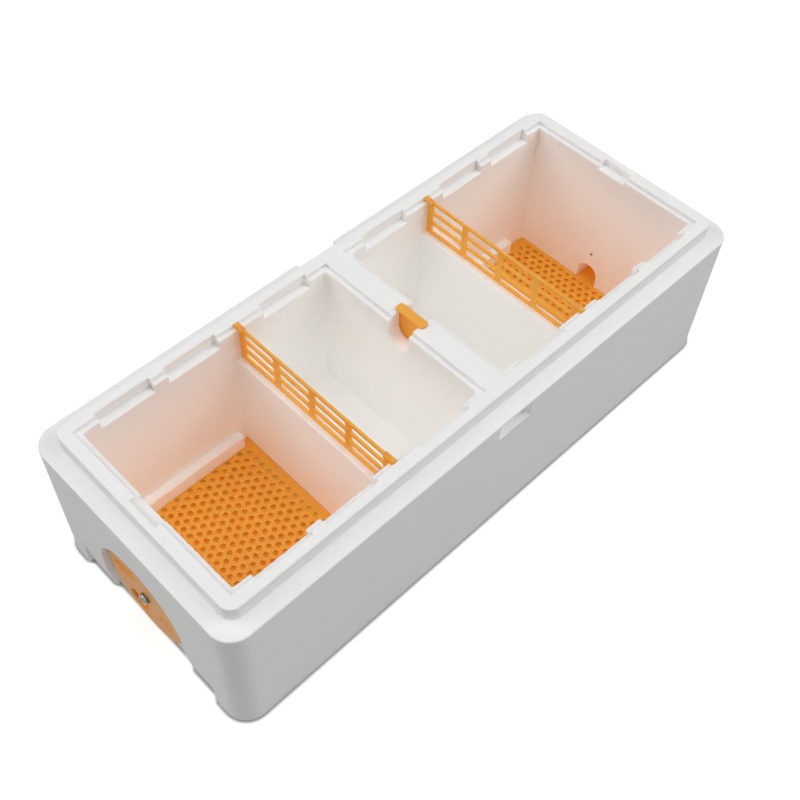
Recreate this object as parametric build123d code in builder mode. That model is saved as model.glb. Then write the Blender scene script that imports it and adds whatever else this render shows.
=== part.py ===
from build123d import *
import math
import os

# Foam body: outside
body_length = 520.0
body_width = 212.0
ledge_height = 129.0
ledge_width = 13.0
lip_height = 13.0
corner_radius = 18.0
lip_corner_radius = 10.0
grip_width = 33.0
grip_height = 15.0
grip_depth = 6.5
grip_drop = 2.0
notch_width = 38.0
notch_height = 16.0
notch_depth = 6.0
relief_width = 150.0
relief_height = 30.0
relief_depth = 3.7

# Foam body: cavities, all with the mould's draft in degrees
wall = 27.5
mid_wall = 27.0
draft = 0.5
rebate_width = 4.0
rebate_depth = 3.0
partition_offset = 97.5
partition_thickness = 11.0
partition_height = 108.5
feeder_floor = 20.0
pocket_length = 45.0
pocket_depth = 10.0
pocket_reach = 6.6
pocket_places = (51.5, 138.0, 195.5)
end_pocket_length = 26.0
end_pocket_depth = 6.0
end_pocket_reach = 8.5
rail_margin_inner = 7.0
rail_margin_outer = 23.5
rail_width = 7.0
rail_height = 14.0

# Vented floor plate and the well under it
plate_seat = 8.8
plate_thickness = 2.5
plate_clearance = 0.4
well_margin = 2.5
well_margin_inner = 12.4
vent_diameter = 4.4
vent_sides = 3
vent_pitch = 8.8
vent_row_pitch = 7.0
vent_margin_inner = 9.2
vent_margin_outer = 5.0
vent_margin_side = 2.2

# Entrance tunnel, disc recess, disc and screw
tunnel_width = 20.0
tunnel_height = 20.0
axis_height = 45.0
recess_radius = 45.0
recess_depth = 6.5
disc_radius = 41.0
disc_thickness = 2.5
disc_gap = 0.3
disc_turn = 15.0
slit_length = 20.0
slit_height = 4.2
slit_pitch = 7.2
slit_count = 2
disc_vent_diameter = 3.4
disc_vent_ring = 6.0
disc_vent_count = 6
screw_diameter = 3.5
screw_bore = 3.6
head_diameter = 9.0
head_height = 3.2
head_gap = 0.3
tip_recess = 1.0

# Feeder grille
grille_thickness = 2.0
grille_bar = 3.2
grille_post = 5.4
grille_rows = 3
grille_columns = 4
grille_side_clearance = 0.4
grille_foot_gap = 0.3
grille_rise = 1.0
ear_width = 4.0

# Middle gate and its channel
channel_width = 20.6
channel_depth = 24.0
gate_thickness = 2.4
gate_lap = 3.3
gate_clearance = 0.3
flange_length = 28.0
flange_width = 8.0
flange_thickness = 2.5

# Worked out: the opening of one half at the rim
total_height = ledge_height + lip_height
slope = math.tan(math.radians(draft))
cavity_half = body_width / 2 - wall
end_inside = body_length / 2 - wall
mid_face = mid_wall / 2
opening_length = end_inside - mid_face
opening_middle = (end_inside + mid_face) / 2
rebate_floor = total_height - rebate_depth

# Worked out: the bee chamber and the feeder bay at the top of the partition
lower_shrink = (total_height - partition_height) * slope
lower_half = cavity_half - lower_shrink
chamber_start = partition_offset + partition_thickness / 2
chamber_end = end_inside - lower_shrink
feeder_start = mid_face + lower_shrink
feeder_end = partition_offset - partition_thickness / 2

# Worked out: the chamber at its floor plate
floor_shrink = (total_height - plate_seat) * slope
floor_start = chamber_start + (partition_height - plate_seat) * slope
floor_end = end_inside - floor_shrink
floor_half = cavity_half - floor_shrink
floor_middle = (floor_start + floor_end) / 2
floor_length = floor_end - floor_start
rail_length = floor_length - rail_margin_inner - rail_margin_outer
rail_middle = floor_start + rail_margin_inner + rail_length / 2
rail_face = floor_half - rail_width
well_length = floor_length - well_margin_inner - well_margin
well_middle = floor_start + well_margin_inner + well_length / 2
first_row = floor_start + vent_margin_inner
vent_rows = int((floor_length - vent_margin_inner - vent_margin_outer) / vent_row_pitch) + 1
vent_columns = 2 * int((rail_face - vent_margin_side) / vent_pitch) + 1

# Worked out: the entrance, its disc and its screw
recess_back = body_length / 2 - recess_depth
tongue_end = recess_back - plate_clearance
tunnel_start = floor_end - plate_clearance
tunnel_radius = tunnel_width / 2
tunnel_spring = plate_seat + plate_thickness + tunnel_height - tunnel_radius
station = (axis_height - tunnel_spring) * math.sqrt(0.5)
disc_back = recess_back + disc_gap
head_seat = disc_back + disc_thickness + head_gap
screw_tip = floor_end + tip_recess

# Worked out: the grille and the gate
grille_low = partition_height + grille_foot_gap
grille_high = total_height + grille_rise
grille_half = lower_half - grille_side_clearance
ear_from = grille_half - grille_post
ear_to = cavity_half + rebate_width - grille_side_clearance
bay_width = (2 * grille_half - grille_post) / grille_columns
bay_height = (grille_high - grille_low - grille_bar) / grille_rows
slot_width = channel_width + 2 * gate_lap
channel_centre = total_height - channel_depth + channel_width / 2
gate_width = slot_width - 2 * gate_clearance

sides = {"left": -1, "right": 1}
os.makedirs("parts", exist_ok=True)


def end_plane(side, distance, height=0.0, turn=0.0):
    """A plane across the box, seen from its end: local X to the right, local Y up, turned by turn degrees."""
    angle = math.radians(turn)
    to_the_right = (0, side * math.cos(angle), math.sin(angle))
    return Plane(origin=(side * distance, 0, height), x_dir=to_the_right, z_dir=(side, 0, 0))


# Foam body: one white moulding with a stepped rim, two chambers, two feeder bays and the wall between
with BuildPart() as foam_body:
    with BuildSketch():
        RectangleRounded(body_length, body_width, corner_radius)
    extrude(amount=ledge_height)
    with BuildSketch(Plane.XY.offset(ledge_height)):
        RectangleRounded(body_length - 2 * ledge_width, body_width - 2 * ledge_width, lip_corner_radius)
    extrude(amount=lip_height)

    for side in sides.values():
        # The opening of one half, down to the partition, with a rebate round its edge
        with BuildSketch(Plane.XY.offset(total_height)):
            with Locations((side * opening_middle, 0)):
                Rectangle(opening_length, 2 * cavity_half)
        extrude(amount=-(total_height - partition_height), taper=draft, mode=Mode.SUBTRACT)
        with BuildSketch(Plane.XY.offset(total_height)):
            with Locations((side * opening_middle, 0)):
                Rectangle(opening_length + 2 * rebate_width, 2 * (cavity_half + rebate_width))
        extrude(amount=-rebate_depth, mode=Mode.SUBTRACT)

        # The bee chamber and the feeder bay below it
        with BuildSketch(Plane.XY.offset(partition_height)):
            with Locations((side * (chamber_start + chamber_end) / 2, 0)):
                Rectangle(chamber_end - chamber_start, 2 * lower_half)
        extrude(amount=-(partition_height - plate_seat), taper=draft, mode=Mode.SUBTRACT)
        with BuildSketch(Plane.XY.offset(partition_height)):
            with Locations((side * (feeder_start + feeder_end) / 2, 0)):
                Rectangle(feeder_end - feeder_start, 2 * lower_half)
        extrude(amount=-(partition_height - feeder_floor), taper=draft, mode=Mode.SUBTRACT)

        # Rails along the chamber's floor, and the open well under its plate
        with BuildSketch(Plane.XY.offset(plate_seat)):
            with Locations((side * rail_middle, 0)):
                Rectangle(rail_length, 2 * cavity_half)
                Rectangle(rail_length, 2 * rail_face, mode=Mode.SUBTRACT)
        extrude(amount=plate_thickness + rail_height)
        with BuildSketch():
            with Locations((side * well_middle, 0)):
                Rectangle(well_length, 2 * (rail_face - well_margin))
        extrude(amount=plate_seat, mode=Mode.SUBTRACT)

        # Pockets in the rim for frame lugs, along both long walls and one in the end wall
        with BuildSketch(Plane.XY.offset(total_height)):
            for place in pocket_places:
                with Locations((side * place, 0)):
                    Rectangle(pocket_length, 2 * (cavity_half + pocket_reach))
        extrude(amount=-pocket_depth, mode=Mode.SUBTRACT)
        with BuildSketch(Plane.XY.offset(total_height)):
            with Locations((side * end_inside, 0)):
                Rectangle(2 * end_pocket_reach, end_pocket_length)
        extrude(amount=-end_pocket_depth, mode=Mode.SUBTRACT)

        # The arched recess for the disc, open at the bottom, and the tunnel and screw hole behind it
        with BuildSketch(end_plane(side, recess_back)):
            with Locations((0, axis_height)):
                Circle(recess_radius)
            with Locations((0, axis_height / 2)):
                Rectangle(2 * recess_radius, axis_height)
        extrude(amount=recess_depth, mode=Mode.SUBTRACT)
        with BuildSketch(end_plane(side, tunnel_start)):
            with Locations((0, tunnel_spring)):
                Circle(tunnel_radius)
            with Locations((0, (tunnel_spring + plate_seat) / 2)):
                Rectangle(tunnel_width, tunnel_spring - plate_seat)
            with Locations((0, axis_height)):
                Circle(screw_bore / 2)
        extrude(amount=recess_back - tunnel_start, mode=Mode.SUBTRACT)

        # The end wall leans in a little at its foot
        foot = side * body_length / 2
        with BuildSketch(Plane.XZ):
            with BuildLine():
                Polyline((foot, 0), (foot, relief_height), (foot - side * relief_depth, 0), close=True)
            make_face()
        extrude(amount=relief_width / 2, both=True, mode=Mode.SUBTRACT)

    # The channel through the middle wall, and the slot that the gate drops into
    with BuildSketch(end_plane(1, -mid_wall)):
        with Locations((0, channel_centre)):
            Circle(channel_width / 2)
        with Locations((0, (channel_centre + total_height) / 2)):
            Rectangle(channel_width, total_height - channel_centre)
    extrude(amount=2 * mid_wall, mode=Mode.SUBTRACT)
    with BuildSketch(end_plane(1, -gate_thickness / 2 - gate_clearance)):
        with Locations((0, channel_centre)):
            Circle(slot_width / 2)
        with Locations((0, (channel_centre + total_height) / 2)):
            Rectangle(slot_width, total_height - channel_centre)
    extrude(amount=gate_thickness + 2 * gate_clearance, mode=Mode.SUBTRACT)

    # A grip pocket under the ledge in front, and a notch in the ledge behind
    with BuildSketch(Plane.XZ.offset(body_width / 2)):
        with Locations((0, ledge_height - grip_drop - grip_height / 2)):
            Rectangle(grip_width, grip_height)
    extrude(amount=-grip_depth, mode=Mode.SUBTRACT)
    with BuildSketch(Plane.XZ.offset(-body_width / 2)):
        with Locations((0, ledge_height - notch_height / 2)):
            Rectangle(notch_width, notch_height)
    extrude(amount=notch_depth, mode=Mode.SUBTRACT)
foam_body.part.label = "foam_body"
export_step(foam_body.part, "parts/foam_body.step")

for name, side in sides.items():
    # Vented floor plate: lies on the foam between the rails, with a tongue along the tunnel
    with BuildPart() as floor_grid:
        with BuildSketch(Plane.XY.offset(plate_seat)):
            with Locations((side * floor_middle, 0)):
                Rectangle(floor_length - 2 * plate_clearance, 2 * (floor_half - plate_clearance))
            with Locations((side * rail_middle, 0)):
                Rectangle(rail_length + 2 * plate_clearance, 2 * floor_half, mode=Mode.SUBTRACT)
                Rectangle(rail_length + 2 * plate_clearance, 2 * (rail_face - plate_clearance))
            with Locations((side * (floor_middle + tongue_end) / 2, 0)):
                Rectangle(tongue_end - floor_middle, tunnel_width - 2 * plate_clearance)
            for row in range(vent_rows):
                count = vent_columns if row % 2 == 0 else vent_columns + 1
                with Locations((side * (first_row + row * vent_row_pitch), 0)):
                    with GridLocations(0, vent_pitch, 1, count):
                        RegularPolygon(vent_diameter / 2, vent_sides, mode=Mode.SUBTRACT)
        extrude(amount=plate_thickness)
    floor_grid.part.label = f"{name}_floor_grid"
    export_step(floor_grid.part, f"parts/{name}_floor_grid.step")

    # Feeder grille: thin bars between posts, hung by two ears on the rebate above the partition
    with BuildPart() as grille:
        with BuildSketch(end_plane(side, partition_offset - grille_thickness / 2)):
            with Locations((0, (grille_low + grille_high) / 2)):
                Rectangle(2 * grille_half, grille_high - grille_low)
                with GridLocations(bay_width, bay_height, grille_columns, grille_rows):
                    Rectangle(bay_width - grille_post, bay_height - grille_bar, mode=Mode.SUBTRACT)
        extrude(amount=grille_thickness)
        with BuildSketch(Plane.XY.offset(rebate_floor)):
            with Locations((side * partition_offset, 0)):
                with GridLocations(0, ear_from + ear_to, 1, 2):
                    Rectangle(ear_width, ear_to - ear_from)
        extrude(amount=grille_high - rebate_floor)
    grille.part.label = f"{name}_feeder_grille"
    export_step(grille.part, f"parts/{name}_feeder_grille.step")

    # Entrance disc: four stations round its middle, for open, slits, vents and shut
    with BuildPart() as entrance_disc:
        with BuildSketch(end_plane(side, disc_back, axis_height, disc_turn)):
            Circle(disc_radius)
            Circle(screw_bore / 2, mode=Mode.SUBTRACT)
            with Locations((-station, -station)):
                Circle(tunnel_radius, mode=Mode.SUBTRACT)
            with Locations((-station, station)):
                with GridLocations(0, slit_pitch, 1, slit_count):
                    Rectangle(slit_length, slit_height, mode=Mode.SUBTRACT)
            with Locations((station, -station)):
                RegularPolygon(disc_vent_diameter / 2, vent_sides, mode=Mode.SUBTRACT)
                with PolarLocations(disc_vent_ring, disc_vent_count):
                    RegularPolygon(disc_vent_diameter / 2, vent_sides, mode=Mode.SUBTRACT)
        extrude(amount=disc_thickness)
    entrance_disc.part.label = f"{name}_entrance_disc"
    export_step(entrance_disc.part, f"parts/{name}_entrance_disc.step")

    # Disc screw: a round head over the disc and a plain shank through the end wall
    with BuildPart() as disc_screw:
        with BuildSketch(end_plane(side, screw_tip, axis_height)):
            Circle(screw_diameter / 2)
        extrude(amount=head_seat - screw_tip)
        with BuildSketch(end_plane(side, head_seat, axis_height)):
            Circle(head_diameter / 2)
        extrude(amount=head_height)
    disc_screw.part.label = f"{name}_disc_screw"
    export_step(disc_screw.part, f"parts/{name}_disc_screw.step")

# Middle gate: a flat top that rests on the wall and a plate with a round foot in the slot below
with BuildPart() as middle_gate:
    with BuildSketch(end_plane(1, -gate_thickness / 2)):
        with Locations((0, channel_centre)):
            Circle(gate_width / 2)
        with Locations((0, (channel_centre + total_height) / 2)):
            Rectangle(gate_width, total_height - channel_centre)
    extrude(amount=gate_thickness)
    with BuildSketch(Plane.XY.offset(total_height)):
        Rectangle(flange_width, flange_length)
    extrude(amount=flange_thickness)
middle_gate.part.label = "middle_gate"
export_step(middle_gate.part, "parts/middle_gate.step")
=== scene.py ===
import math

import bmesh
import bpy
from mathutils import Matrix, Quaternion, Vector


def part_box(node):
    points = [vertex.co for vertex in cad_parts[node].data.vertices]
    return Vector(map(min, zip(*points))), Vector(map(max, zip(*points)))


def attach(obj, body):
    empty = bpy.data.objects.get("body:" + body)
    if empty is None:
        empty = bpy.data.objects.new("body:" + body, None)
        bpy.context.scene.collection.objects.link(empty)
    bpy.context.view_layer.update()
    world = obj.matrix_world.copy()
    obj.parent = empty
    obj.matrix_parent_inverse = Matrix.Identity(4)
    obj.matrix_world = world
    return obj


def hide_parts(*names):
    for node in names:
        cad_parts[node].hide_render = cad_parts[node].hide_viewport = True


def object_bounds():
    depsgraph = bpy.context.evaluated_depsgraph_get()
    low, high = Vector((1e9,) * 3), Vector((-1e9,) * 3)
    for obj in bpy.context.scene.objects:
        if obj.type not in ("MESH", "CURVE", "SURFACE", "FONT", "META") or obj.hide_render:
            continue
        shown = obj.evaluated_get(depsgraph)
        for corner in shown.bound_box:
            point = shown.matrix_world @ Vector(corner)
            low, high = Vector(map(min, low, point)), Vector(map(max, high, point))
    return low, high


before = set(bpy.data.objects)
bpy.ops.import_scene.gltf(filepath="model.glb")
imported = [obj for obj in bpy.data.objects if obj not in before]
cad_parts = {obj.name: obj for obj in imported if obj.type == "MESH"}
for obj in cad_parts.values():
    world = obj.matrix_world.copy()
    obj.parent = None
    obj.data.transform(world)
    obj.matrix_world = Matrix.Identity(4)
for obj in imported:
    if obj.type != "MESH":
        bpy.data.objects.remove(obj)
cad_low, cad_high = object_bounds()

# Foam body: the white box, one moulding of expanded polystyrene beads that steam has fused in the mould.
# Its skin is matt and shows the outlines of the beads, and the mould leaves every edge a little round.
# The shape is the frame's own solid, merged, with its outer edges rounded and its inner corners filleted.
MM = 0.001
FOAM_COLOUR = "#FDFDFC"
FOAM_BEAD_COLOUR = "#F9FAF8"
FOAM_BEAD = 3.6
FOAM_BEAD_DENT = 0.10
FOAM_MOTTLE = 45.0
FOAM_DEPTH = 2.5
FOAM_EDGE = 1.1
FOAM_FILLET = 1.0
FEEDER_FILLET = 3.5
FEEDER_REACH = 95.0
FOAM_SMALL_EDGE = 0.5
FOAM_SHORTEST_EDGE = 0.7
FEEDER_FLOOR = 20.0
GRIP_HALF = 17.0
GRIP_DEPTH = 7.0
GRIP_FOOT = 100.0
GRIP_TOP = 128.0
UPRIGHT_SHORTEST = 50.0
UPRIGHT_SHARE = 0.95
FOAM_LOOPS = {
    "X": (-215, -120, -88, -22, 22, 88, 120, 215),
    "Y": (-72, -30, 30, 72),
    "Z": (13, 26, 50, 80, 104, 110, 134),
}
SHARP_ANGLE = math.radians(40)
FLAT_ANGLE = math.radians(0.5)
PLAN_AXES = ((1, 0, 0), (0, 1, 0))
# Distances that count as none: between merged points, from a cut to an edge, and between two heights.
TOUCH = 0.001
SNAP = 0.01
LEVEL = 0.1


def linear(hex_colour):
    """An sRGB hex colour as linear red, green, blue and alpha."""
    channels = [int(hex_colour[i:i + 2], 16) / 255 for i in (1, 3, 5)]
    return [c / 12.92 if c <= 0.04045 else ((c + 0.055) / 1.055) ** 2.4 for c in channels] + [1.0]


def add_node(tree, kind, inputs, **settings):
    """Adds a shader node with its settings; an input is a value or the socket that feeds it."""
    made = tree.nodes.new("ShaderNode" + kind)
    for name, value in settings.items():
        setattr(made, name, value)
    for name, value in inputs.items():
        if isinstance(value, bpy.types.NodeSocket):
            tree.links.new(value, made.inputs[name])
        else:
            made.inputs[name].default_value = value
    return made


def new_material(name):
    """An empty material and its node tree."""
    material = bpy.data.materials.new(name)
    material.use_nodes = True
    material.node_tree.nodes.clear()
    return material, material.node_tree


def expanded_polystyrene():
    """Matt bead foam: each bead has its own faint tone, with a shallow groove where beads meet."""
    material, tree = new_material("expanded_polystyrene")
    place = add_node(tree, "TexCoord", {}).outputs["Object"]
    beads_per_metre = 1 / (FOAM_BEAD * MM)
    bead = add_node(tree, "TexVoronoi", {"Vector": place, "Scale": beads_per_metre})
    groove = add_node(
        tree, "TexVoronoi", {"Vector": place, "Scale": beads_per_metre}, feature="DISTANCE_TO_EDGE"
    )
    mottle = add_node(tree, "TexNoise", {"Vector": place, "Scale": 1 / (FOAM_MOTTLE * MM), "Detail": 4.0})
    dome = add_node(
        tree,
        "MapRange",
        {"Value": groove.outputs["Distance"], "From Max": 0.25},
        interpolation_type="SMOOTHSTEP",
    )
    grey = add_node(tree, "SeparateColor", {"Color": bead.outputs["Color"]})
    tone = add_node(tree, "Math", {0: grey.outputs["Red"], 1: mottle.outputs["Fac"]}, operation="MULTIPLY")
    colour = add_node(
        tree,
        "Mix",
        {"Factor": tone.outputs["Value"], 6: linear(FOAM_COLOUR), 7: linear(FOAM_BEAD_COLOUR)},
        data_type="RGBA",
    )
    bump = add_node(
        tree, "Bump", {"Height": dome.outputs["Result"], "Strength": 0.5, "Distance": FOAM_BEAD_DENT * MM}
    )
    shader = add_node(
        tree,
        "BsdfPrincipled",
        {
            "Base Color": colour.outputs[2],
            "Normal": bump.outputs["Normal"],
            "Roughness": 0.75,
            "Subsurface Weight": 0.6,
            "Subsurface Radius": (1.0, 1.0, 0.95),
            "Subsurface Scale": FOAM_DEPTH * MM,
            "IOR": 1.35,
        },
    )
    add_node(tree, "OutputMaterial", {"Surface": shader.outputs["BSDF"]})
    return material


def soften(shape, radius, segments, wanted):
    """Rounds those sharp edges of a shape that are wanted."""
    edges = [edge for edge in shape.edges if edge.calc_face_angle(0.0) > SHARP_ANGLE and wanted(edge)]
    bmesh.ops.bevel(
        shape,
        geom=edges,
        offset=radius * MM,
        offset_type="OFFSET",
        affect="EDGES",
        segments=segments,
        profile=0.5,
        material=-1,
        clamp_overlap=False,
    )


def cut(shape, place, across, snap=0.0):
    """Cuts a whole shape along a plane, keeps both sides, and gives the edges that lie on the plane."""
    everything = shape.verts[:] + shape.edges[:] + shape.faces[:]
    result = bmesh.ops.bisect_plane(shape, geom=everything, dist=snap, plane_co=place, plane_no=across)
    return [item for item in result["geom_cut"] if isinstance(item, bmesh.types.BMEdge)]


def add_piece(name, shape, material, body, slot, *replaced):
    """Makes a piece of a shape; it rides on a body, takes a material and stands for its CAD nodes. Its slot
    is not used.
    """
    mesh = bpy.data.meshes.new(name)
    shape.to_mesh(mesh)
    shape.free()
    mesh.materials.append(material)
    mesh.shade_smooth()
    mesh.set_sharp_from_angle(angle=SHARP_ANGLE)
    piece = bpy.data.objects.new(name, mesh)
    bpy.context.scene.collection.objects.link(piece)
    flat_faces = piece.modifiers.new("flat_faces", "WEIGHTED_NORMAL")
    flat_faces.keep_sharp = True
    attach(piece, body)
    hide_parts(*replaced)


def in_grip(edge):
    """Whether an edge belongs to the grip pocket in the front wall."""
    middle = (edge.verts[0].co + edge.verts[1].co) / 2
    in_wall = middle.y < cad_low.y + GRIP_DEPTH * MM
    in_height = GRIP_FOOT * MM < middle.z < GRIP_TOP * MM
    return in_wall and in_height and abs(middle.x) < GRIP_HALF * MM


def inner_corner(edge):
    """Whether an edge is an upright inner corner of a chamber or bay, or runs round a feeder bay's floor."""
    along = edge.verts[1].co - edge.verts[0].co
    long_enough = along.length > UPRIGHT_SHORTEST * MM
    upright = long_enough and abs(along.z) > UPRIGHT_SHARE * along.length
    on_floor = all(abs(vert.co.z - FEEDER_FLOOR * MM) < LEVEL * MM for vert in edge.verts)
    return not edge.is_convex and (upright or on_floor)


def in_feeder(edge):
    """Whether an edge is an inner corner of a feeder bay, which is rounder than a chamber's."""
    return inner_corner(edge) and abs(edge.verts[0].co.x) < FEEDER_REACH * MM


def outer_edge(edge):
    """Whether an edge stands out and is long enough to be rounded."""
    return edge.is_convex and edge.calc_length() > FOAM_SHORTEST_EDGE * MM and not in_grip(edge)


foam = bmesh.new()
foam.from_mesh(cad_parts["foam_body"].data)
bmesh.ops.remove_doubles(foam, verts=foam.verts, dist=TOUCH * MM)
# Seams along both middle planes stop a merged face from running all the way round an opening.
for across in PLAN_AXES:
    for middle_edge in cut(foam, (0, 0, 0), across, TOUCH * MM):
        middle_edge.seam = True
bmesh.ops.dissolve_limit(foam, angle_limit=FLAT_ANGLE, verts=foam.verts, edges=foam.edges, delimit={"SEAM"})
soften(foam, FEEDER_FILLET, segments=5, wanted=in_feeder)
soften(foam, FOAM_FILLET, segments=3, wanted=inner_corner)
soften(foam, FOAM_EDGE, segments=3, wanted=outer_edge)
soften(foam, FOAM_SMALL_EDGE, segments=2, wanted=in_grip)
# Loop cuts divide the wide walls into even patches, so that their shading stays flat.
for across, places in FOAM_LOOPS.items():
    plane = Vector((across == "X", across == "Y", across == "Z"))
    for place in places:
        cut(foam, plane * place * MM, plane, SNAP * MM)
add_piece("foam_box", foam, expanded_polystyrene(), "box", "white_foam", "foam_body")

# Floor plates: one in each bee chamber, an orange polypropylene moulding that lies on the foam floor.
# Staggered rows of round vents run across it, with corners cut out for the rails and a tongue in the tunnel.
# The middle vents open into the well below, and those over or beside the foam seat are moulded blind.
ORANGE_COLOUR = "#FEB645"
ORANGE_DEEP_COLOUR = "#FCAE3C"
ORANGE_FLOW = 28.0
ORANGE_GRAIN = 0.7
ORANGE_GRAIN_HEIGHT = 0.012
ORANGE_DEPTH = 3.0
PLATE_END = 230.94
PLATE_CORNER = 1.0
RAIL_FROM = 110.47
RAIL_TO = 208.24
RAIL_FACE = 69.94
TONGUE_HALF = 9.6
PLATE_EDGE = 0.35
VENT = 4.2
VENT_SIDES = 12
VENT_PITCH = 7.94
VENT_ROW_PITCH = 6.28
VENT_ROWS = 19
VENT_COLUMNS = 17
VENT_FIRST_ROW = 113.07
FIRST_ROW_DEPTH = 1.3
EDGE_DEPTH = 2.0
BLIND_FOOT = 0.1
BLIND_LAP = 0.2
ENDS = {"right": 0.0, "left": math.pi}


def orange_polypropylene(name, light_tone, deep_tone):
    """Moulded polypropylene: a soft sheen on a faint grain, slow flow marks, and light that sinks in."""
    material, tree = new_material(name)
    place = add_node(tree, "TexCoord", {}).outputs["Object"]
    flow = add_node(tree, "TexNoise", {"Vector": place, "Scale": 1 / (ORANGE_FLOW * MM), "Detail": 3.0})
    grain = add_node(tree, "TexNoise", {"Vector": place, "Scale": 1 / (ORANGE_GRAIN * MM), "Detail": 2.0})
    colour = add_node(
        tree,
        "Mix",
        {"Factor": flow.outputs["Fac"], 6: linear(light_tone), 7: linear(deep_tone)},
        data_type="RGBA",
    )
    sheen = add_node(tree, "MapRange", {"Value": flow.outputs["Fac"], "To Min": 0.40, "To Max": 0.52})
    bump = add_node(
        tree,
        "Bump",
        {"Height": grain.outputs["Fac"], "Strength": 0.5, "Distance": ORANGE_GRAIN_HEIGHT * MM},
    )
    shader = add_node(
        tree,
        "BsdfPrincipled",
        {
            "Base Color": colour.outputs[2],
            "Normal": bump.outputs["Normal"],
            "Roughness": sheen.outputs["Result"],
            "IOR": 1.49,
            "Specular IOR Level": 0.3,
            "Subsurface Weight": 1.0,
            "Subsurface Radius": (1.0, 0.45, 0.15),
            "Subsurface Scale": ORANGE_DEPTH * MM,
        },
    )
    add_node(tree, "OutputMaterial", {"Surface": shader.outputs["BSDF"]})
    return material


def round_corners(sheet, corners, radius, segments=4):
    """Rounds corners of a flat sheet."""
    bmesh.ops.bevel(
        sheet,
        geom=corners,
        offset=radius * MM,
        offset_type="OFFSET",
        affect="VERTICES",
        segments=segments,
        profile=0.5,
        material=-1,
    )


def add_blank(sheet, low, high, corner=0.0):
    """Adds a flat rectangle between two corners in millimetres, its own corners rounded where asked."""
    middle = [(a + b) / 2 * MM for a, b in zip(low, high)]
    half = [(b - a) / 2 * MM for a, b in zip(low, high)]
    place = Matrix.Translation((*middle, 0)) @ Matrix.Diagonal((*half, 1, 1))
    blank = bmesh.ops.create_grid(sheet, x_segments=1, y_segments=1, size=1.0, matrix=place)
    if corner:
        round_corners(sheet, blank["verts"], corner)


def add_round(sheet, middle, diameter, sides):
    """Adds a round outline to a flat sheet, in millimetres."""
    place = Matrix.Translation((middle[0] * MM, middle[1] * MM, 0))
    bmesh.ops.create_circle(sheet, segments=sides, radius=diameter / 2 * MM, matrix=place)


def add_rod(shape, middle, bottom, top, foot_radius, top_radius, sides):
    """Adds a closed upright rod between two heights, in millimetres."""
    bmesh.ops.create_cone(
        shape,
        cap_ends=True,
        segments=sides,
        radius1=foot_radius * MM,
        radius2=top_radius * MM,
        depth=(top - bottom) * MM,
        matrix=Matrix.Translation(Vector((*middle, (bottom + top) / 2)) * MM),
    )


def lies_flat(edge):
    """Whether both ends of an edge are at the same height."""
    return abs(edge.verts[0].co.z - edge.verts[1].co.z) < LEVEL * MM


def mould_sheet(sheet, thickness, edge):
    """Fills a flat sheet between its outline and its holes, and gives it a thickness and soft edges."""
    bmesh.ops.delete(sheet, geom=sheet.faces[:], context="FACES_ONLY")
    bmesh.ops.triangle_fill(sheet, use_beauty=True, edges=sheet.edges[:], normal=(0, 0, 1))
    raised = bmesh.ops.extrude_face_region(sheet, geom=sheet.faces[:], use_keep_orig=True)
    top = [item for item in raised["geom"] if isinstance(item, bmesh.types.BMVert)]
    bmesh.ops.translate(sheet, vec=(0, 0, thickness * MM), verts=top)
    bmesh.ops.recalc_face_normals(sheet, faces=sheet.faces[:])
    soften(sheet, edge, segments=1, wanted=lies_flat)


def off_the_plate(place):
    """Whether a place on the blank is cut away, for a rail or beside the tongue."""
    at_rail = RAIL_FROM * MM < place.x < RAIL_TO * MM and abs(place.y) > RAIL_FACE * MM
    at_tongue = place.x > PLATE_END * MM and abs(place.y) > TONGUE_HALF * MM
    return at_rail or at_tongue


def blind_depth(row, column, count):
    """How deep a vent over or beside the foam seat is moulded, and nought where a vent goes through."""
    if row == 0:
        return FIRST_ROW_DEPTH
    at_edge = row in (1, VENT_ROWS - 1) or column in (0, count - 1)
    return EDGE_DEPTH if at_edge else 0.0


orange = orange_polypropylene("orange_polypropylene", ORANGE_COLOUR, ORANGE_DEEP_COLOUR)
for end, turn in ENDS.items():
    low, high = (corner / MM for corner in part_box("right_floor_grid"))
    plate = bmesh.new()
    add_blank(plate, low.xy, high.xy)
    cuts = [((x, 0, 0), (1, 0, 0)) for x in (RAIL_FROM, RAIL_TO, PLATE_END)]
    cuts += [((0, y, 0), (0, 1, 0)) for y in (-RAIL_FACE, -TONGUE_HALF, TONGUE_HALF, RAIL_FACE)]
    for place, across in cuts:
        cut(plate, Vector(place) * MM, across)
    waste = [face for face in plate.faces if off_the_plate(face.calc_center_median())]
    bmesh.ops.delete(plate, geom=waste, context="FACES")
    bmesh.ops.dissolve_faces(plate, faces=plate.faces[:], use_verts=True)
    round_corners(plate, plate.verts[:], PLATE_CORNER)
    blind = []
    for row in range(VENT_ROWS):
        count = VENT_COLUMNS + row % 2
        for column in range(count):
            vent = (VENT_FIRST_ROW + row * VENT_ROW_PITCH, (column - (count - 1) / 2) * VENT_PITCH)
            add_round(plate, vent, VENT, VENT_SIDES)
            depth = blind_depth(row, column, count)
            if depth:
                blind.append((vent, high.z - low.z - depth))
    mould_sheet(plate, high.z - low.z, PLATE_EDGE)
    plug_radius = VENT / 2 + BLIND_LAP
    for vent, top in blind:
        add_rod(plate, vent, BLIND_FOOT, top, plug_radius, plug_radius, VENT_SIDES)
    place = Matrix.Rotation(turn, 4, "Z") @ Matrix.Translation((0, 0, low.z * MM))
    bmesh.ops.transform(plate, matrix=place, verts=plate.verts[:])
    add_piece(f"{end}_vented_plate", plate, orange, "box", "orange_plastic", f"{end}_floor_grid")

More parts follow.
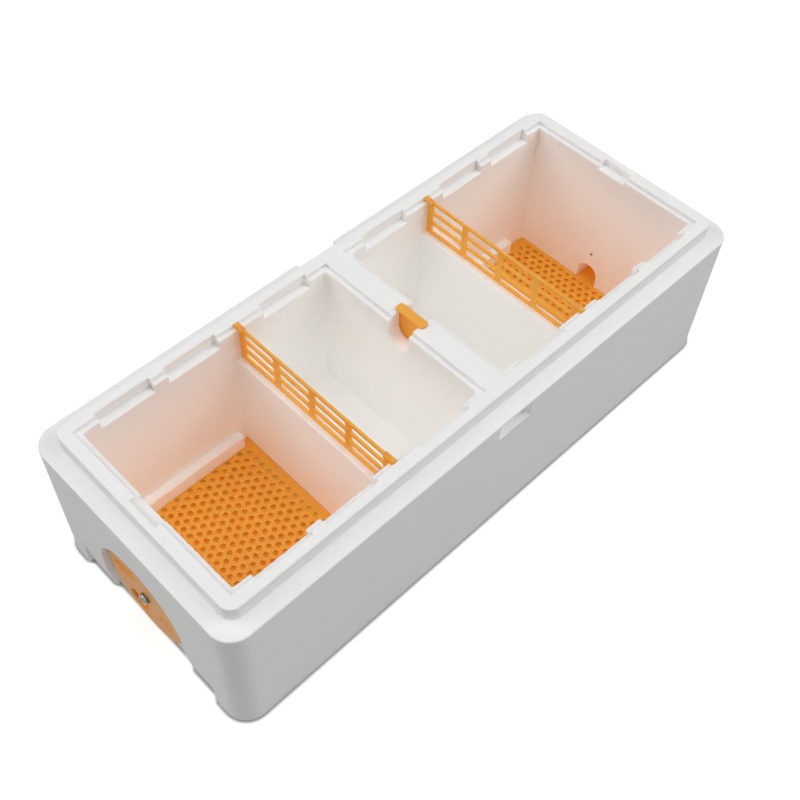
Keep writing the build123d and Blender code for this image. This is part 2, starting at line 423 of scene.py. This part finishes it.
# Feeder grilles: a thin orange moulding over each partition, with bars between five posts.
# It stands on the partition's top and hangs by an ear at each end in the rebate of the rim.
GRILLE_POST = 5.4
GRILLE_BAR = 3.2
GRILLE_ROWS = 3
GRILLE_COLUMNS = 4
GRILLE_EDGE = 0.3
GRILLE_EAR = 4.0
GRILLE_THICKNESS = 2.0
GRILLE_HALF = 77.81
GRILLE_CORNER = 0.6
SLOT_CORNER = 1.6
# Stands a flat sheet on edge: its width runs along Y, its height along Z and its thickness along X.
UPRIGHT = Matrix(((0, 0, 1, 0), (1, 0, 0, 0), (0, 1, 0, 0), (0, 0, 0, 1)))


def join(shape, other):
    """Adds another shape to a shape."""
    mesh = bpy.data.meshes.new("joined")
    other.to_mesh(mesh)
    other.free()
    shape.from_mesh(mesh)
    bpy.data.meshes.remove(mesh)


for end, turn in ENDS.items():
    low, high = (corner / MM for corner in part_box("right_feeder_grille"))
    grille = bmesh.new()
    add_blank(grille, (-GRILLE_HALF, low.z), (GRILLE_HALF, high.z), GRILLE_CORNER)
    bay = (2 * GRILLE_HALF - GRILLE_POST) / GRILLE_COLUMNS
    storey = (high.z - low.z - GRILLE_BAR) / GRILLE_ROWS
    for column in range(GRILLE_COLUMNS):
        for row in range(GRILLE_ROWS):
            left = -GRILLE_HALF + GRILLE_POST + column * bay
            foot = low.z + GRILLE_BAR + row * storey
            slot = (left + bay - GRILLE_POST, foot + storey - GRILLE_BAR)
            add_blank(grille, (left, foot), slot, SLOT_CORNER)
    mould_sheet(grille, GRILLE_THICKNESS, GRILLE_EDGE)
    sheet_back = (low.x + high.x - GRILLE_THICKNESS) / 2
    bmesh.ops.translate(grille, vec=(0, 0, sheet_back * MM), verts=grille.verts[:])
    for reach in (low.y, high.y):
        ear = bmesh.new()
        inner = math.copysign(GRILLE_HALF - GRILLE_POST, reach)
        ear_low = (min(inner, reach), high.z - GRILLE_EAR)
        ear_high = (max(inner, reach), high.z)
        add_blank(ear, ear_low, ear_high, GRILLE_CORNER)
        mould_sheet(ear, high.x - low.x, GRILLE_EDGE)
        bmesh.ops.translate(ear, vec=(0, 0, low.x * MM), verts=ear.verts[:])
        join(grille, ear)
    place = Matrix.Rotation(turn, 4, "Z") @ UPRIGHT
    bmesh.ops.transform(grille, matrix=place, verts=grille.verts[:])
    body = f"{end}_grille"
    add_piece(f"{end}_slotted_grille", grille, orange, body, "orange_plastic", f"{end}_feeder_grille")

# Entrance discs: a plate that turns on its screw in the arched recess of each end wall.
# Its four stations bring an open hole, two slits, a ring of vents or a shut face before the tunnel.
# It is moulded in the same plastic as the floor plates; its slightly deeper orange is painted shade, for the
# shade on the end walls.
DISC_SHADED_COLOUR = "#FEA632"
DISC_SHADED_DEEP_COLOUR = "#FC9E2A"
AXIS_HEIGHT = 45.0
DISC_TURN = math.radians(15)
DISC_EDGE = 0.4
DISC_SIDES = 96
STATION = 16.76
ENTRANCE = 20.0
ENTRANCE_SIDES = 40
SLIT_LENGTH = 20.0
SLIT_HEIGHT = 4.2
SLIT_PITCH = 7.2
SLIT_CORNER = SLIT_HEIGHT / 2.2
DISC_VENT = 3.4
DISC_VENT_RING = 6.0
DISC_VENTS = 6
DISC_BORE = 3.6

shaded_disc_orange = orange_polypropylene("shaded_orange_polypropylene", DISC_SHADED_COLOUR, DISC_SHADED_DEEP_COLOUR)
for end, turn in ENDS.items():
    low, high = (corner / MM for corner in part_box("right_entrance_disc"))
    disc = bmesh.new()
    add_round(disc, (0, 0), high.z - low.z, DISC_SIDES)
    add_round(disc, (0, 0), DISC_BORE, VENT_SIDES)
    add_round(disc, (-STATION, -STATION), ENTRANCE, ENTRANCE_SIDES)
    for rise in (-SLIT_PITCH / 2, SLIT_PITCH / 2):
        middle = STATION + rise
        slit_low = (-STATION - SLIT_LENGTH / 2, middle - SLIT_HEIGHT / 2)
        slit_high = (-STATION + SLIT_LENGTH / 2, middle + SLIT_HEIGHT / 2)
        add_blank(disc, slit_low, slit_high, SLIT_CORNER)
    add_round(disc, (STATION, -STATION), DISC_VENT, VENT_SIDES)
    for number in range(DISC_VENTS):
        angle = 2 * math.pi * number / DISC_VENTS
        across = STATION + DISC_VENT_RING * math.cos(angle)
        rise = -STATION + DISC_VENT_RING * math.sin(angle)
        add_round(disc, (across, rise), DISC_VENT, VENT_SIDES)
    mould_sheet(disc, high.x - low.x, DISC_EDGE)
    at_end = Matrix.Translation((low.x * MM, 0, AXIS_HEIGHT * MM))
    place = Matrix.Rotation(turn, 4, "Z") @ at_end @ UPRIGHT @ Matrix.Rotation(DISC_TURN, 4, "Z")
    bmesh.ops.transform(disc, matrix=place, verts=disc.verts[:])
    body = f"{end}_disc"
    add_piece(f"{end}_shutter_disc", disc, shaded_disc_orange, body, "orange_plastic", f"{end}_entrance_disc")

# Disc screws: a zinc-plated steel screw with a domed pan head, one in the middle of each disc.
# Its shank goes through the disc's bore into the end wall, and the disc turns on it.
# The head is a round blank with its rim rounded over, and a driver's cross is sunk into its top.
# Its grey is darker than bare zinc plating: painted shade, so that the head looks dim but for its gleam.
DARKENED_ZINC_COLOUR = "#808386"
ZINC_CLOUD = 1.5
HEAD_RADIUS = 4.5
HEAD_HEIGHT = 3.2
HEAD_DOME = 1.984
HEAD_SIDES = 32
HEAD_TOP_BAND = 0.2
SHANK_RADIUS = 1.75
SHANK_TIP_RADIUS = 1.0
SHANK_SIDES = 20
CROSS_ARM = 0.55
CROSS_REACH = 2.3
CROSS_DEPTH = 1.5


def zinc_plated_steel():
    """Zinc-plated steel: a grey metal with a bright gleam that breaks up in fine cloudy patches."""
    material, tree = new_material("zinc_plated_steel")
    place = add_node(tree, "TexCoord", {}).outputs["Object"]
    cloud = add_node(tree, "TexNoise", {"Vector": place, "Scale": 1 / (ZINC_CLOUD * MM), "Detail": 3.0})
    dull = add_node(tree, "MapRange", {"Value": cloud.outputs["Fac"], "To Min": 0.12, "To Max": 0.24})
    shader = add_node(
        tree,
        "BsdfPrincipled",
        {"Base Color": linear(DARKENED_ZINC_COLOUR), "Metallic": 1.0, "Roughness": dull.outputs["Result"]},
    )
    add_node(tree, "OutputMaterial", {"Surface": shader.outputs["BSDF"]})
    return material


zinc = zinc_plated_steel()
for end, turn in ENDS.items():
    low, high = (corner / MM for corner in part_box("right_disc_screw"))
    screw = bmesh.new()
    seat = high.x - HEAD_HEIGHT
    add_rod(screw, (0, 0), seat, high.x, HEAD_RADIUS, HEAD_RADIUS, HEAD_SIDES)
    top_from = (high.x - HEAD_TOP_BAND) * MM
    soften(screw, HEAD_DOME, segments=5, wanted=lambda rim: min(vert.co.z for vert in rim.verts) > top_from)
    for reach in (-CROSS_REACH, -CROSS_ARM, CROSS_ARM, CROSS_REACH):
        for across in PLAN_AXES:
            upper = [face for face in screw.faces if face.calc_center_median().z > top_from]
            around = {edge for face in upper for edge in face.edges}
            corners = {vert for face in upper for vert in face.verts}
            top = list(corners) + list(around) + upper
            bmesh.ops.bisect_plane(screw, geom=top, plane_co=Vector(across) * reach * MM, plane_no=across)
    cross = []
    for face in screw.faces:
        middle = face.calc_center_median()
        near = min(abs(middle.x), abs(middle.y)) < CROSS_ARM * MM
        within = max(abs(middle.x), abs(middle.y)) < CROSS_REACH * MM
        if near and within and middle.z > top_from:
            cross.append(face)
    sunk = bmesh.ops.extrude_face_region(screw, geom=cross)
    bmesh.ops.delete(screw, geom=cross, context="FACES")
    sunk_verts = [item for item in sunk["geom"] if isinstance(item, bmesh.types.BMVert)]
    bmesh.ops.translate(screw, vec=(0, 0, -CROSS_DEPTH * MM), verts=sunk_verts)
    add_rod(screw, (0, 0), low.x, seat, SHANK_TIP_RADIUS, SHANK_RADIUS, SHANK_SIDES)
    at_end = Matrix.Translation((0, 0, AXIS_HEIGHT * MM))
    place = Matrix.Rotation(turn, 4, "Z") @ at_end @ UPRIGHT @ Matrix.Rotation(DISC_TURN, 4, "Z")
    bmesh.ops.transform(screw, matrix=place, verts=screw.verts[:])
    add_piece(f"{end}_pan_head_screw", screw, zinc, "box", "zinc_steel", f"{end}_disc_screw")

# Middle gate: an orange plate with a round foot that drops into a slot in the middle wall's channel.
# Its flat top rests on the wall and is what a finger lifts it by.
GATE_THICKNESS = 2.4
GATE_WIDTH = 26.6
GATE_SEAT = 142.0
GATE_EDGE = 0.5
FOOT_RADIUS = GATE_WIDTH * 0.499
FOOT_SEGMENTS = 14
FLANGE_CORNER = 2.0
FLANGE_EDGE = 0.7

low, high = (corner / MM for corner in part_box("middle_gate"))
gate = bmesh.new()
add_blank(gate, (-GATE_WIDTH / 2, low.z), (GATE_WIDTH / 2, GATE_SEAT))
foot_corners = [vert for vert in gate.verts if vert.co.y < (low.z + LEVEL) * MM]
round_corners(gate, foot_corners, FOOT_RADIUS, FOOT_SEGMENTS)
mould_sheet(gate, GATE_THICKNESS, GATE_EDGE)
bmesh.ops.translate(gate, vec=(0, 0, -GATE_THICKNESS / 2 * MM), verts=gate.verts[:])
bmesh.ops.transform(gate, matrix=UPRIGHT, verts=gate.verts[:])
flange = bmesh.new()
add_blank(flange, low.xy, high.xy, FLANGE_CORNER)
mould_sheet(flange, high.z - GATE_SEAT, FLANGE_EDGE)
bmesh.ops.translate(flange, vec=(0, 0, GATE_SEAT * MM), verts=flange.verts[:])
join(gate, flange)
add_piece("drop_gate", gate, orange, "gate", "orange_plastic", "middle_gate")

# Studio: a pale floor that runs out of the picture, four large soft lamps and a dim white room round them.
# The floor and the room look white to the eye, but light the box no more than pale grey paper would.
# An orange patch under the box, which only the vents show, is painted with the light that the plates let
# through and gives the vents their deep orange.
FLOOR_SIZE = 3.0
FLOOR_COLOUR = "#BCBCBC"
FLOOR_GLOW = 0.69
FLOOR_CONTACT = 4.0
CONTACT_SHUT = 0.62
CONTACT_OPEN = 0.9
# Painted light: the orange glow of the light that the plates let down onto the floor under the box.
PLATE_LIGHT_COLOUR = "#E8A02E"
PLATE_LIGHT_INSET = 20.0
PLATE_LIGHT_GLOW = 0.32
ROOM_COLOUR = "#FFFFFF"
ROOM_LIGHT = 0.08
LAMP_SIZE = 2.2
LAMPS = {
    "overhead": ((0.0, 0.0, 3.0), 25.0),
    "left": ((-1.6, 1.6, 2.0), 34.0),
    "right": ((1.6, -1.6, 2.0), 35.0),
    "front": ((-1.6, -1.6, 2.0), 12.0),
}


def seen_directly(tree):
    """One where a surface is seen, also in a mirror or through glass, and nought where it lights others."""
    path = add_node(tree, "LightPath", {})
    share = path.outputs["Is Camera Ray"]
    for kind in ("Is Glossy Ray", "Is Transmission Ray"):
        either = add_node(tree, "Math", {0: share, 1: path.outputs[kind]}, operation="MAXIMUM")
        share = either.outputs["Value"]
    return share


def pale_floor():
    """Matt pale paper: it looks white where it lies open, with painted contact shade where the box stands
    over it.
    """
    material, tree = new_material("pale_floor")
    lit = add_node(tree, "BsdfDiffuse", {"Color": linear(FLOOR_COLOUR)})
    # Painted contact shade: the white glow fades where the box closes in above the floor.
    clear_above = add_node(tree, "AmbientOcclusion", {"Distance": FLOOR_CONTACT * MM}, samples=16)
    open_range = {"From Min": CONTACT_SHUT, "From Max": CONTACT_OPEN, "To Max": FLOOR_GLOW}
    open_floor = add_node(tree, "MapRange", {"Value": clear_above.outputs["AO"], **open_range})
    white_share = add_node(
        tree, "Math", {0: seen_directly(tree), 1: open_floor.outputs["Result"]}, operation="MULTIPLY"
    )
    glow = add_node(tree, "Emission", {"Strength": white_share.outputs["Value"]})
    look = add_node(tree, "AddShader", {0: lit.outputs["BSDF"], 1: glow.outputs["Emission"]})
    add_node(tree, "OutputMaterial", {"Surface": look.outputs["Shader"]})
    return material


def painted_plate_light():
    """Painted plate light: matt orange paper that glows faintly where the vents show it, for the light the
    plates pass down.
    """
    material, tree = new_material("painted_plate_light")
    lit = add_node(tree, "BsdfDiffuse", {"Color": linear(PLATE_LIGHT_COLOUR)})
    share = add_node(tree, "Math", {0: seen_directly(tree), 1: PLATE_LIGHT_GLOW}, operation="MULTIPLY")
    glow = add_node(tree, "Emission", {"Color": linear(PLATE_LIGHT_COLOUR), "Strength": share.outputs["Value"]})
    look = add_node(tree, "AddShader", {0: lit.outputs["BSDF"], 1: glow.outputs["Emission"]})
    add_node(tree, "OutputMaterial", {"Surface": look.outputs["Shader"]})
    return material


def white_room():
    """An even room: white where it is seen, and dim where it lights the box."""
    world = bpy.data.worlds.new("white_room")
    world.use_nodes = True
    tree = world.node_tree
    tree.nodes.clear()
    white = add_node(tree, "Background", {"Color": linear(ROOM_COLOUR), "Strength": 1.0})
    dim = add_node(tree, "Background", {"Color": linear(ROOM_COLOUR), "Strength": ROOM_LIGHT})
    room = add_node(
        tree,
        "MixShader",
        {0: seen_directly(tree), 1: dim.outputs["Background"], 2: white.outputs["Background"]},
    )
    add_node(tree, "OutputWorld", {"Surface": room.outputs["Shader"]})
    return world


floor_shape = bmesh.new()
bmesh.ops.create_grid(floor_shape, x_segments=1, y_segments=1, size=FLOOR_SIZE / 2)
for corner, inward in ((cad_low, PLATE_LIGHT_INSET * MM), (cad_high, -PLATE_LIGHT_INSET * MM)):
    for across in PLAN_AXES:
        cut(floor_shape, corner + Vector((inward, inward, 0)), across)
# The middle patch under the box takes the painted plate light.
for face in floor_shape.faces:
    face.material_index = int(face.calc_center_median().length < LEVEL * MM)
floor_mesh = bpy.data.meshes.new("floor")
floor_shape.to_mesh(floor_mesh)
floor_shape.free()
floor_mesh.materials.append(pale_floor())
floor_mesh.materials.append(painted_plate_light())
floor = bpy.data.objects.new("floor", floor_mesh)
bpy.context.scene.collection.objects.link(floor)

bpy.context.scene.world = white_room()
for name, (place, power) in LAMPS.items():
    lamp_data = bpy.data.lights.new(name, "AREA")
    lamp_data.energy = power
    lamp_data.shape = "SQUARE"
    lamp_data.size = LAMP_SIZE
    lamp = bpy.data.objects.new(name, lamp_data)
    lamp.location = place
    lamp.rotation_mode = "QUATERNION"
    lamp.rotation_quaternion = (-Vector(place)).to_track_quat("-Z", "Y")
    bpy.context.scene.collection.objects.link(lamp)

# Camera: stands off the box's front left corner and looks down into it, as the photograph was taken.
# Its place, roll and lens come from fitting the box's outline to the one in the photograph.
# Light may bounce often, because the white hollows of the box are lit mostly by their own walls.
CAMERA_PLACE = (-0.3911, -0.3573, 0.7498)
CAMERA_TARGET = (-0.0519, -0.0414, 0.1289)
CAMERA_ROLL = 0.0548
CAMERA_LENS = 49.6
CAMERA_SENSOR = 36.0
LIGHT_BOUNCES = 24
camera_data = bpy.data.cameras.new("camera")
camera_data.lens = CAMERA_LENS
camera_data.sensor_width = CAMERA_SENSOR
camera = bpy.data.objects.new("camera", camera_data)
camera.location = CAMERA_PLACE
camera.rotation_mode = "QUATERNION"
looking = Vector(CAMERA_TARGET) - Vector(CAMERA_PLACE)
camera.rotation_quaternion = looking.to_track_quat("-Z", "Y") @ Quaternion((0, 0, 1), CAMERA_ROLL)
bpy.context.scene.collection.objects.link(camera)
bpy.context.scene.camera = camera
bpy.context.scene.view_settings.view_transform = "Standard"
bpy.context.scene.cycles.max_bounces = LIGHT_BOUNCES
bpy.context.scene.cycles.diffuse_bounces = LIGHT_BOUNCES
